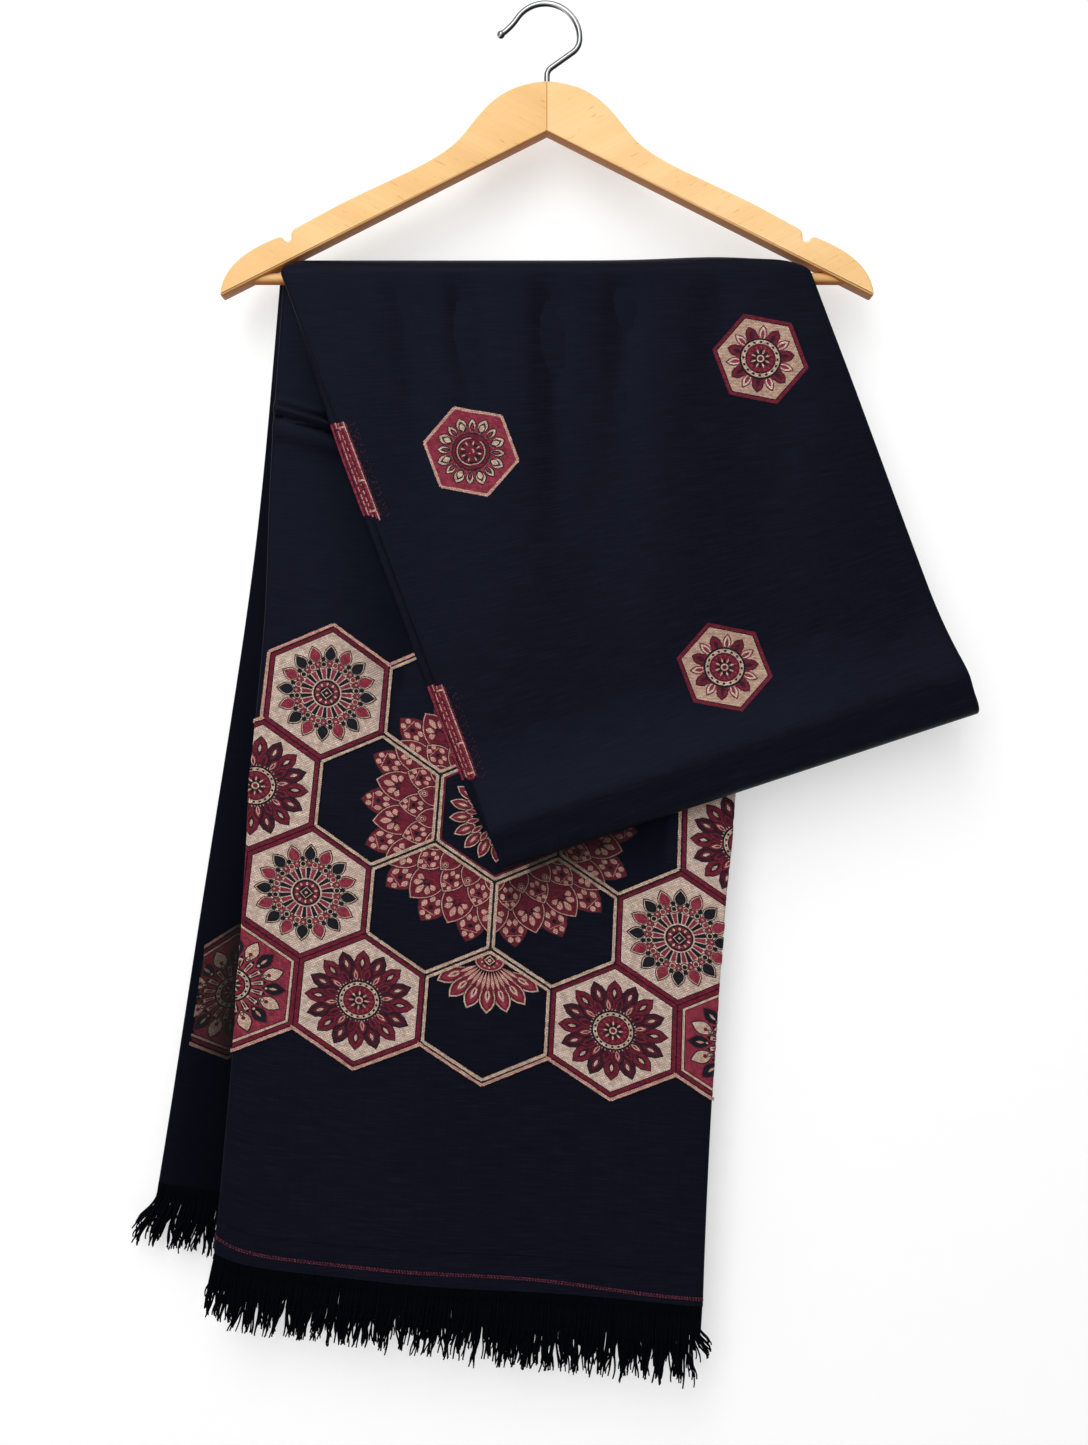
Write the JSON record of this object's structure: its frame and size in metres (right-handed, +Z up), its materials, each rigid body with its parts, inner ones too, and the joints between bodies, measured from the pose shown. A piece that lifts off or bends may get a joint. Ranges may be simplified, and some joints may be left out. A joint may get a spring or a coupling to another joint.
{
  "type": "embroidered shawl on a wooden coat hanger",
  "caption": "Fringed woven shawl with embroidered hexagons, folded in three and hung over the bar of a wooden coat hanger with a wire hook.",
  "frame": {"origin": "the point inside the top of the hook where it bears on a rail", "axes": "+Z up, -Y towards the viewer of the front, +X to that viewer's right along the hanger"},
  "size_m": [0.575, 0.0437, 0.9425],
  "materials": {
    "shawl_cloth": "fine plain weave in dark navy with red, wine and beige thread embroidery, soft low sheen",
    "fringe_yarn": "loose twisted yarn, nearly black",
    "hanger_wood": "pale lacquered beech, satin",
    "hook_metal": "polished wire"
  },
  "bodies": {
    "root": {"shawl": "shawl_cloth", "fringe_front": "fringe_yarn", "fringe_rear": "fringe_yarn", "hanger_arm_left": "hanger_wood", "hanger_arm_right": "hanger_wood", "hanger_bar": "hanger_wood", "hanger_hook": "hook_metal"}
  },
  "joints": []
}
